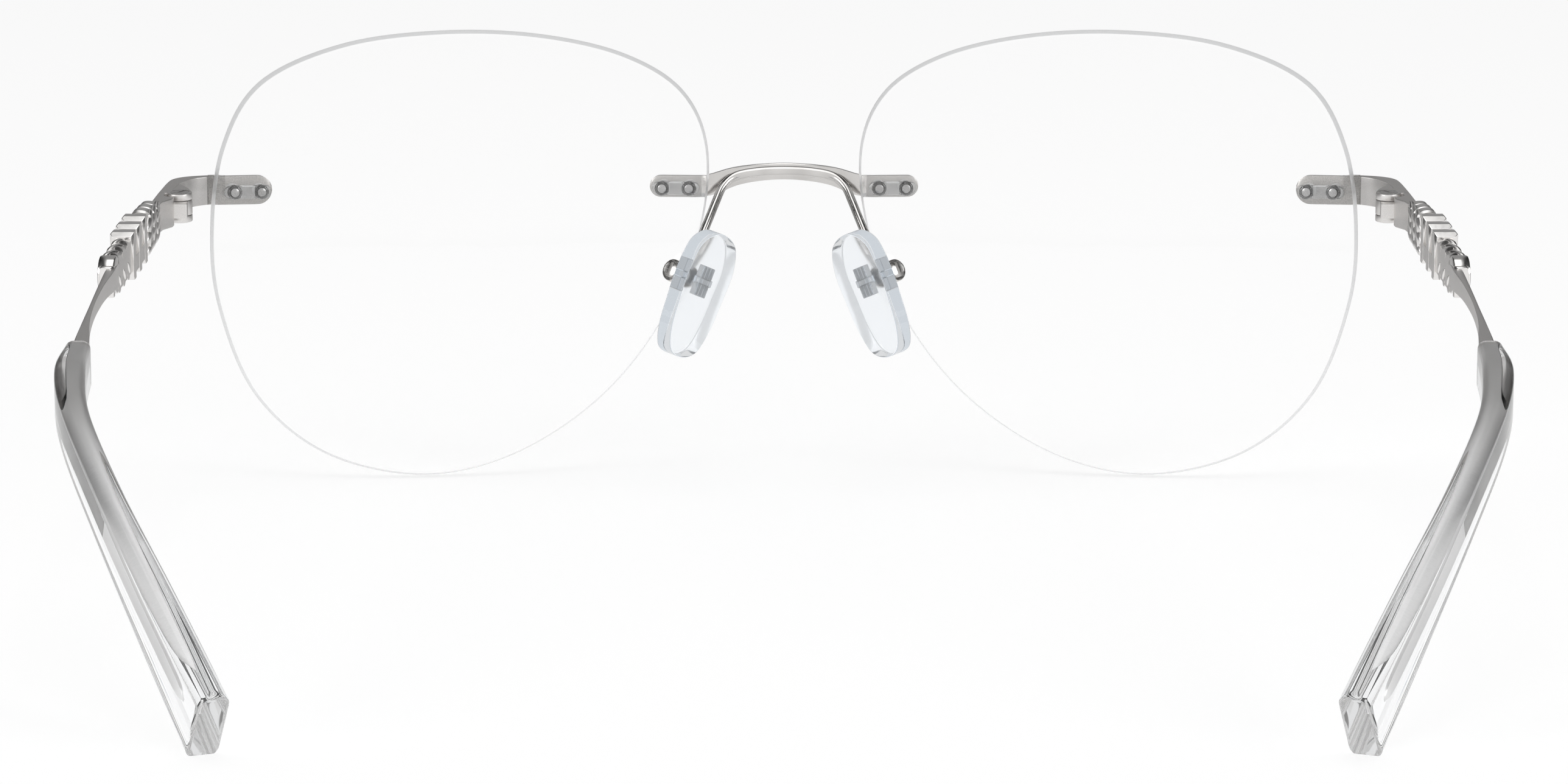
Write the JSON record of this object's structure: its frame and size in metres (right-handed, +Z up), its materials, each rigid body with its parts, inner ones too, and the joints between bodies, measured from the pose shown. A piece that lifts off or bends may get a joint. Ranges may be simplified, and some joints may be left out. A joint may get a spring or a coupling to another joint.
{
  "type": "rimless eyeglasses",
  "caption": "Rimless eyeglasses with drilled clear lenses, a metal nose bridge on a pad-arm wire, folding metal temples with a stepped ornament, and clear temple tips.",
  "frame": {"origin": "centre of the outline on the table that the glasses stand on", "axes": "+X to the wearer's right, +Y forward in the wearer's view, +Z up; the temples run back to -Y"},
  "size_m": [0.1434, 0.1481, 0.0495],
  "materials": {
    "lens_clear": "clear, polished faces and a lightly frosted edge",
    "metal_polished": "polished, warm silver plating",
    "metal_satin": "fine bead-blasted satin, warm silver",
    "screw_steel": "turned steel",
    "plug_clear": "clear moulded plastic",
    "tip_clear": "clear polished acetate",
    "pad_silicone": "clear silicone with a frosted contact face"
  },
  "bodies": {
    "front": {"lens_left": "lens_clear", "lens_right": "lens_clear", "bridge": "metal_polished", "pad_arm_wire": "metal_polished", "bushing_nasal_left": "plug_clear", "bushing_nasal_right": "plug_clear", "bushing_temporal_left": "plug_clear", "bushing_temporal_right": "plug_clear", "end_piece_left": "metal_satin", "end_piece_right": "metal_satin", "hinge_screw_left": "screw_steel", "hinge_screw_right": "screw_steel", "pad_box_left": "metal_polished", "pad_box_right": "metal_polished", "pad_screw_left": "screw_steel", "pad_screw_right": "screw_steel"},
    "temple_left_arm": {"temple_left": "metal_satin", "temple_ornament_left": "metal_polished", "temple_tip_left": "tip_clear"},
    "temple_right_arm": {"temple_right": "metal_satin", "temple_ornament_right": "metal_polished", "temple_tip_right": "tip_clear"},
    "pad_left": {"nose_pad_left": "pad_silicone", "pad_insert_left": "plug_clear"},
    "pad_right": {"nose_pad_right": "pad_silicone", "pad_insert_right": "plug_clear"}
  },
  "joints": [
    {"name": "fold_left", "type": "hinge", "parent": "front", "child": "temple_left_arm", "pos_m": [-0.0662, 0.05831, 0.03309], "axis": [0, -0.0558, 0.9984], "range_deg": [0, 85]},
    {"name": "fold_right", "type": "hinge", "parent": "front", "child": "temple_right_arm", "pos_m": [0.0662, 0.05831, 0.03309], "axis": [0, 0.0558, -0.9984], "range_deg": [0, 74]},
    {"name": "pad_rock_left", "type": "hinge", "parent": "front", "child": "pad_left", "pos_m": [-0.0118, 0.06346, 0.02336], "axis": [0.5355, 0.7661, -0.3554], "range_deg": [-10, 10]},
    {"name": "pad_rock_right", "type": "hinge", "parent": "front", "child": "pad_right", "pos_m": [0.0118, 0.06346, 0.02336], "axis": [-0.5355, 0.7661, -0.3554], "range_deg": [-10, 10]}
  ]
}
